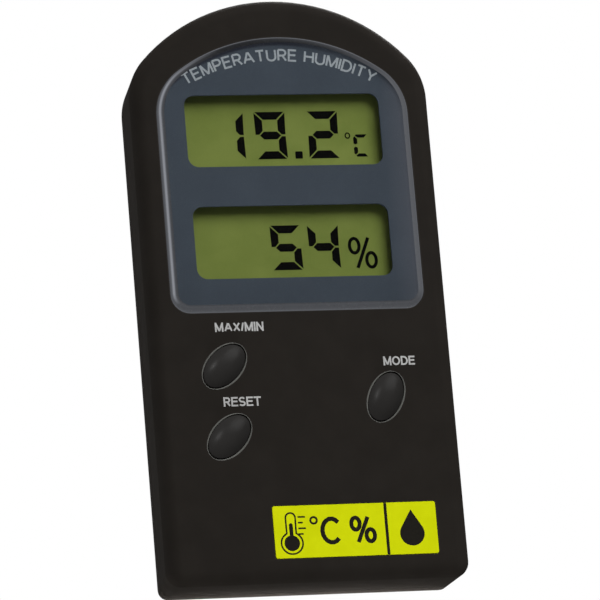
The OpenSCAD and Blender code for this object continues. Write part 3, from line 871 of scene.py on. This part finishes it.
# The two rows: how far the figures' feet are below the window's middle, their height, and each
# figure's left and right. The point stands in the upper row.
UPPER_ROW = (5.0, 9.1, (("1", -12.9, -7.07), ("9", -5.02, 0.87), ("2", 4.99, 10.89)))
LOWER_ROW = (4.95, 8.5, (("5", -3.76, 2.03), ("4", 3.34, 9.18)))
POINT_LEFT = 2.3
POINT_SIZE = 1.42


def mirrored(outline, x=None, z=None):
    """An outline mirrored about an upright line at x or a level one at z."""
    if x is not None:
        return [(2 * x - px, pz) for px, pz in outline]
    return [(px, 2 * z - pz) for px, pz in outline]


def digit(shape, figure, x0, x1, z0, z1, y):
    """A seven-segment figure with mitred ends."""
    t, g = SEGMENT_W, SEGMENT_GAP
    x, z = (x0 + x1) / 2, (z0 + z1) / 2
    top = [(x0 + g, z1), (x1 - g, z1), (x1 - t - g, z1 - t), (x0 + t + g, z1 - t)]
    left = [(x0, z1 - g), (x0 + t, z1 - t - g), (x0 + t, z + t / 2 + g), (x0 + t * 0.55, z + g),
            (x0 + 0.1, z + g)]
    right = mirrored(left, x=x)
    bar = [(x0 + t / 2 + g, z), (x0 + t + g, z + t / 2), (x1 - t - g, z + t / 2), (x1 - t / 2 - g, z),
           (x1 - t - g, z - t / 2), (x0 + t + g, z - t / 2)]
    outlines = [top, left, right, bar, mirrored(left, z=z), mirrored(right, z=z), mirrored(top, z=z)]
    for lit, outline in zip(SEGMENTS[figure], outlines):
        if lit == "1":
            shape.slab(outline, y, INK)


def degree_sign(shape, z, y):
    """A small ring and a C made of four lit bars, for figures whose feet are at z."""
    shape.stroke(ring(12.55, z + 4.3, 0.42, 0.5), 0.24, y, INK, closed=True)
    left, right, foot, head = 13.6, 16.2, z + 0.2, z + 4.5
    centre = (foot + head) / 2
    for end, turn in ((foot, 0.62), (head, -0.62)):
        shape.slab([(left + 0.55, end), (right, end), (right - 0.55, end + turn), (left + 0.9, end + turn),
                    (left + 0.35, end + turn * 0.4)], y, INK)
        near = centre + 0.22 * (-1 if turn > 0 else 1)
        upright = [(left, end + turn * 1.1), (left + 0.3, end + turn * 0.6),
                   (left + 0.75, end + turn * 1.4), (left + 0.75, near - turn * 0.3),
                   (left + 0.35, near), (left, near - turn * 0.3)]
        shape.slab(upright, y, INK)


def make_digits():
    """The lit liquid-crystal segments, drawn on the face of the display stack."""
    y = FILM_FRONT - 2 * INK
    upper, lower = UPPER_Z - UPPER_ROW[0], LOWER_Z - LOWER_ROW[0]
    shape = Shape()
    for foot, (_, height, figures) in ((upper, UPPER_ROW), (lower, LOWER_ROW)):
        for figure, left, right in figures:
            digit(shape, figure, left, right, foot, foot + height, y)
    shape.slab(round_box(POINT_LEFT, POINT_LEFT + POINT_SIZE, upper, upper + POINT_SIZE, 0.2), y, INK)
    degree_sign(shape, upper, y)
    lettering(shape, "%", (10.8, 16.3, lower - 0.1, lower + 6.05), 0.62, y, INK)
    shape.piece("display_digits", SEGMENT, "housing")


# The heading's half length, letter height and line weight, and the arc it follows: radius, centre z.
HEADING_REACH = 19.2
HEADING_H = 2.4
HEADING_WEIGHT = 0.37
HEADING_ARC = (38.4, 60.9)


def make_heading():
    """Light capitals following the arch of the mask."""
    where = (-HEADING_REACH, HEADING_REACH, 0, HEADING_H)
    shape = Shape()
    lettering(shape, "TEMPERATURE HUMIDITY", where, HEADING_WEIGHT, PLATE_LOW.y - INK, INK * 2, HEADING_ARC)
    shape.piece("heading_print", HEADING_INK, "housing")


# Left, right, foot and head of each button's name, and their line weight.
LEGENDS = {
    "MAX/MIN": (-16.1, -7.0, 46.6, 48.35),
    "RESET": (-15.6, -8.6, 32.6, 34.35),
    "MODE": (15.0, 20.95, 39.5, 41.2),
}
LEGEND_WEIGHT = 0.31


def make_legends():
    """Bold white names above the buttons."""
    shape = Shape()
    for text, where in LEGENDS.items():
        lettering(shape, text, where, LEGEND_WEIGHT, FRONT - INK, INK * 2)
    shape.piece("legend_print", WHITE_INK, "housing")


# The label's dark divider, as a share of its width from the left, and its width.
DIVIDER_AT = 0.69
DIVIDER_W = 0.55


def thermometer(shape, x, z, y):
    """A bulb with its thread in a glass outline, and four marks beside it."""
    bulb_z = z - 2.1
    shape.slab(ring(x, bulb_z, 1.45, 1.45), y, INK * 2)
    shape.slab(round_box(x - 0.35, x + 0.35, z - 1.6, z + 1.6, 0.34), y - INK_STEP, INK * 2)
    glass = [*arc(x, bulb_z, 2.0, 116, 424, 30), *arc(x, z + 2.6, 0.9, 0, 180, 12)]
    shape.stroke(glass, 0.3, y - 2 * INK_STEP, INK * 2, closed=True)
    for i in range(4):
        mark_x, mark_z = x + 1.5, z + 2.7 - i * 1.05
        shape.stroke([(mark_x, mark_z), (mark_x + 1.1 - 0.5 * (i % 2), mark_z)], 0.3, y, INK * 2)


def make_label_print():
    """Plain pictograms: a thermometer with degree and percent signs, a divider and a drop."""
    y, z = LABEL_LOW.y - INK, (LABEL_LOW.z + LABEL_HIGH.z) / 2
    left, right = LABEL_LOW.x, LABEL_HIGH.x
    foot, head = LABEL_LOW.z + INK, LABEL_HIGH.z - INK
    split = left + DIVIDER_AT * (right - left)
    near, far = split - DIVIDER_W / 2, split + DIVIDER_W / 2
    shape = Shape()
    shape.slab([(near, foot), (far, foot), (far, head), (near, head)], y, INK * 2)
    thermometer(shape, left + 3.2, z, y)
    shape.stroke(ring(left + 7.5, z + 2.0, 0.6, 0.6), 0.38, y, INK * 2, closed=True)
    lettering(shape, "C", (left + 8.6, left + 12.6, z - 2.6, z + 2.6), 0.8, y, INK * 2)
    lettering(shape, "%", (left + 14.1, left + 19.1, z - 2.6, z + 2.6), 0.75, y, INK * 2)
    drop_x = (split + right) / 2
    shape.slab([(drop_x, z + 3.4), *arc(drop_x, z - 1.0, 2.3, 28, -208, 30)], y, INK * 2)
    shape.piece("label_print", LABEL_INK, "housing")


# Caps stay this far inside the openings; the bead round an opening runs from IN to OUT of its edge.
CAP_GAP = 0.33
RIM_IN = -0.3
RIM_OUT = 0.04
RIM_H = 0.1
FLANGE_W = 0.68
FLANGE_T = 0.8
FLANGE_Y = FRONT + 2.1
STEM_R = 2.2


def make_cap(node, body, tilt):
    """A smooth oval dome with the flange and stem behind it."""
    low, high = limits(node)
    a, b = BUTTON_A - CAP_GAP, BUTTON_B - CAP_GAP
    foot, rise = FRONT + 0.05, FRONT + 0.05 - low.y
    sections = [
        (STEM_R, STEM_R, high.y),
        (STEM_R, STEM_R, FLANGE_Y + FLANGE_T),
        (a + FLANGE_W, b + FLANGE_W, FLANGE_Y + FLANGE_T),
        (a + FLANGE_W, b + FLANGE_W, FLANGE_Y),
        (a, b, FLANGE_Y),
    ]
    for i in range(25):
        spread = 1 - i / 24.5
        sections.append((a * spread, b * spread, foot - rise * (1 - spread ** 2.4)))
    shape = Shape()
    shape.skin([at_y(oval(*middle(node), tilt, long, short), y) for long, short, y in sections])
    cap = shape.piece(node + "_cap", BUTTON, body, smooth_angle=60)
    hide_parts(node)


def make_rim(node, tilt):
    """The moulded bead round a button's opening, coloured light grey as a painted highlight along the
    opening's edge.
    """
    steps = 8
    sections = []
    for i in range(steps + 1):
        t = math.radians(180 * i / steps)
        out = RIM_IN + (RIM_OUT - RIM_IN) * (1 - math.cos(t)) / 2
        sections.append((out, FRONT + 0.02 - RIM_H * math.sin(t)))
    sections += [(RIM_OUT, FRONT + 0.15), (RIM_IN, FRONT + 0.15)]
    shape = Shape()
    rings = [at_y(oval(*middle(node), tilt, BUTTON_A, BUTTON_B, out), y) for out, y in sections]
    shape.skin(rings, closed=True)
    shape.piece(node + "_rim", RIM_PAINTED_HIGHLIGHT, "housing", smooth_angle=60)


# The soft mat behind the buttons: a sheet with holes, and a hollow dome in each hole.
MAT_T = 0.8
MAT_EDGE = 0.7
MAT_CORNER_R = 2
MAT_HOLE_R = 3.9
BOSS_HOLE_Z = 26
BOSS_HOLE_R = 2.7
DOME_FOOT_R = 3.88
DOME_R = 3.6
DOME_TOP_R = 2.3
DOME_WEB = 0.55
DOME_PAD = 0.9
PLUNGER_R = 1.4
PLUNGER_GAP = 0.02


def make_dome(node, body):
    """One soft dome, built at rest with a mesh of its own; on the real keypad it flattens as its button
    goes in.
    """
    cx, cz = middle(node)
    top, base = MAT_LOW.y, MAT_HIGH.y
    tip = limits(body + "_contact")[0].y - PLUNGER_GAP
    shape = Shape()
    shape.turned(
        [(tip, 0.3), (tip, PLUNGER_R), (top + DOME_PAD, PLUNGER_R), (top + DOME_PAD, DOME_TOP_R - DOME_WEB),
         (base - MAT_T, DOME_R - DOME_WEB), (base, DOME_R - DOME_WEB), (base, DOME_FOOT_R),
         (base - MAT_T, DOME_FOOT_R), (base - MAT_T, DOME_R), (top + 0.4, DOME_TOP_R),
         (top + 0.12, DOME_TOP_R - 0.08), (top, DOME_TOP_R - 0.25), (top, 0.3)],
        (cx, 0, cz), "y",
    )
    dome = shape.piece(body + "_dome", SILICONE, "housing", smooth_angle=30)
    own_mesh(dome)


def make_mat():
    """The sheet that joins the domes."""
    left, right = MAT_LOW.x + MAT_EDGE, MAT_HIGH.x - MAT_EDGE
    loops = [
        round_box(left, right, MAT_LOW.z, MAT_HIGH.z, MAT_CORNER_R),
        ring(0, BOSS_HOLE_Z, BOSS_HOLE_R, BOSS_HOLE_R, 48),
    ]
    for node in BUTTONS:
        loops.append(ring(*middle(node), MAT_HOLE_R, MAT_HOLE_R, 64))
    sheet = cut_plate("keypad_sheet", loops, MAT_HIGH.y - MAT_T, MAT_HIGH.y, SILICONE)
    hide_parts("keypad_mat")


def make_cell():
    """Dry cell: a jacket rolled over the can's ends, and the nub, which points at the positive contact."""
    radius = (CELL_HIGH.z - CELL_LOW.z) / 2
    centre = (0, (CELL_LOW.y + CELL_HIGH.y) / 2, (CELL_LOW.z + CELL_HIGH.z) / 2)
    tip, tail, way = CELL_HIGH.x, CELL_LOW.x, -1
    if middle("positive_contact")[0] < middle("battery_cell")[0]:
        tip, tail, way = CELL_LOW.x, CELL_HIGH.x, 1
    shoulder = tip + way * 1.1
    jacket = Shape()
    jacket.turned(
        [(shoulder, radius - 1.5), (shoulder, radius - 0.45), (shoulder + way * 0.12, radius - 0.12),
         (shoulder + way * 0.5, radius), (tail - way * 0.6, radius), (tail - way * 0.15, radius - 0.15),
         (tail, radius - 0.5), (tail, radius - 1.5)],
        centre, "x", 96,
    )
    cell = jacket.piece("cell_jacket_tube", JACKET, "housing")
    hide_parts("battery_cell")
    ends = Shape()
    ends.turned(
        [(shoulder + way * 0.1, 3.2), (shoulder - way * 0.05, 3.2), (shoulder - way * 0.1, 2.0),
         (shoulder - way * 0.2, 1.95), (tip + way * 0.15, 1.9), (tip, 1.7), (tip, 0.3)],
        centre, "x", 64,
    )
    flat_end = [(tail - way * 0.1, 3.9), (tail, 3.8), (tail - way * 0.05, 3.3), (tail - way * 0.12, 0.3)]
    ends.turned(flat_end, centre, "x", 64)
    ends.piece("cell_ends", TIN, "housing")


def make_door_arrow():
    """A small raised arrow on the battery door that shows which way it slides off."""
    high = limits("battery_door")[1]
    centre_z, half, drop = high.z - 3.4, 1.4, 2.0
    corners = ((-half, drop / 2), (0, -drop / 2), (half, drop / 2))
    rings = []
    for scale, rise in ((1.0, -0.05), (1.0, 0.06), (0.82, 0.14)):
        rings.append([(x * scale, high.y + rise, centre_z + z * scale) for x, z in corners])
    shape = Shape()
    shape.skin(rings)
    shape.piece("door_arrow", COVER, "door")


make_door_arrow()
make_lens()
make_mask()
make_cell()
make_digits()
make_heading()
make_legends()
make_label_print()
make_mat()
for node, (body, tilt) in BUTTONS.items():
    make_cap(node, body, tilt)
    make_rim(node, tilt)
    make_dome(node, body)


# ---------------------------------------------------------------- camera, light and floor

VIEW_AZIMUTH = -14.13
VIEW_ELEVATION = -13.99
VIEW_ROLL = -4.83
VIEW_DISTANCE = 926.1
VIEW_AIM = Vector((0.27, FRONT, 52.25))
VIEW_LENS = 303.35
LAMP_AIM = (0, 0, 55)

# How strongly the room shines from each side; below, its strength is multiplied instead.
ROOM_FRONT = 0.035
ROOM_LEFT = 0.6
ROOM_RIGHT = 0.09
ROOM_BEHIND = 0.38
ROOM_BELOW = 0.3

# Half the floor's width, its height, below the opened battery door, and where it starts and ends fading.
FLOOR_HALF = 1000
FLOOR_Z = -24
FLOOR_FADE = (150, 600)


def direction(azimuth, elevation):
    """From the object towards a camera or lamp, angles in degrees; azimuth 0 is the front."""
    a, e = math.radians(azimuth), math.radians(elevation)
    return Vector((math.sin(a) * math.cos(e), -math.cos(a) * math.cos(e), math.sin(e)))


def camera():
    back = direction(VIEW_AZIMUTH, VIEW_ELEVATION)
    data = bpy.data.cameras.new("camera")
    data.lens = VIEW_LENS
    data.sensor_width = 36
    data.clip_start, data.clip_end = 0.01, 20
    obj = placed("camera", data)
    obj.rotation_mode = "QUATERNION"
    turn = (-back).to_track_quat("-Z", "Y")
    obj.rotation_quaternion = turn @ Matrix.Rotation(math.radians(VIEW_ROLL), 4, "Z").to_quaternion()
    obj.location = (VIEW_AIM + back * VIEW_DISTANCE) * MM
    bpy.context.scene.camera = obj


def lamp(name, azimuth, elevation, distance_mm, size_mm, power, aim=LAMP_AIM, narrow_mm=None):
    """A round or oval soft box that faces the object."""
    back = direction(azimuth, elevation)
    data = bpy.data.lights.new(name, "AREA")
    data.shape = "ELLIPSE"
    data.size = size_mm * MM
    data.size_y = (narrow_mm or size_mm) * MM
    data.energy = power
    obj = placed(name, data)
    obj.location = (Vector(aim) + back * distance_mm) * MM
    obj.rotation_mode = "QUATERNION"
    obj.rotation_quaternion = (-back).to_track_quat("-Z", "Y")
    obj.visible_camera = False
    return obj


def lamps():
    """Soft keys in front and behind, a fill for the left, two weak lamps below, one for the caps only."""
    lamp("key", 31, 42, 1500, 1350, 30)
    lamp("rear_key", 150, 45, 1500, 900, 30)
    lamp("left_fill", -105, 5, 1200, 700, 5)
    for low_lamp in (
        lamp("under_sheen", 0, -80, 500, 120, 1.9, aim=(0, 0, 0)),
        lamp("under_strip", 180, -89, 3, 60, 0.009, aim=(0, 7, 0), narrow_mm=2),
    ):
        low_lamp.visible_glossy = False
        low_lamp.visible_transmission = False
    caps = bpy.data.collections.new("buttons")
    for node in BUTTONS:
        caps.objects.link(bpy.data.objects[node + "_cap"])
    lamp("button_sheen", -36, 30, 1000, 200, 6.8).light_linking.receiver_collection = caps


def world():
    """White for the camera. What the object reflects is a room, dim in front and below, pale at the
    left and behind."""
    n = Nodes("studio", world=True)
    glow = ROOM_FRONT
    for axis, start, full, gain in (
        ("Y", 0.1, 0.9, ROOM_BEHIND),
        ("X", -0.3, -0.9, ROOM_LEFT),
        ("X", 0.4, 0.9, ROOM_RIGHT),
    ):
        glow = n.math("ADD", n.ramp(n.along(axis), start, full, 0.0, gain, smooth=True), glow)
    dimmed = n.math("MULTIPLY", glow, n.ramp(n.along("Z"), -0.1, -0.22, 1.0, ROOM_BELOW))
    room = n.add("ShaderNodeBackground", Strength=dimmed).outputs[0]
    white = n.add("ShaderNodeBackground", Color=(1, 1, 1, 1)).outputs[0]
    seen = n.add("ShaderNodeLightPath").outputs["Is Camera Ray"]
    bpy.context.scene.world = n.surface(n.mix_shader(seen, room, white))
    bpy.context.scene.view_settings.view_transform = "Standard"


def floor():
    """A pale floor that is seen only from above and fades out with distance."""
    n = Nodes("floor_pale")
    paper = n.principled(
        Base_Color=n.mix(n.ramp(n.noise(40.0), 0.3, 0.7), (0.8, 0.8, 0.8, 1), (0.84, 0.84, 0.84, 1)),
        Roughness=0.9,
    )
    clear = n.add("ShaderNodeBsdfTransparent").outputs["BSDF"]
    under = n.add("ShaderNodeNewGeometry").outputs["Backfacing"]
    near, far = FLOOR_FADE
    faded = n.math("MAXIMUM", under, n.ramp(n.distance((0, 0, 0)), near * MM, far * MM))
    half = FLOOR_HALF * MM
    corners = [(-half, -half), (half, -half), (half, half), (-half, half)]
    data = bpy.data.meshes.new("floor")
    data.from_pydata([(x, y, FLOOR_Z * MM) for x, y in corners], [], [(0, 1, 2, 3)])
    data.materials.append(n.surface(n.mix_shader(faded, paper, clear)))
    obj = placed("floor", data)
    obj.visible_diffuse = False
    obj.visible_glossy = False
    obj.visible_transmission = False
    obj.visible_shadow = False


camera()
world()
floor()
lamps()
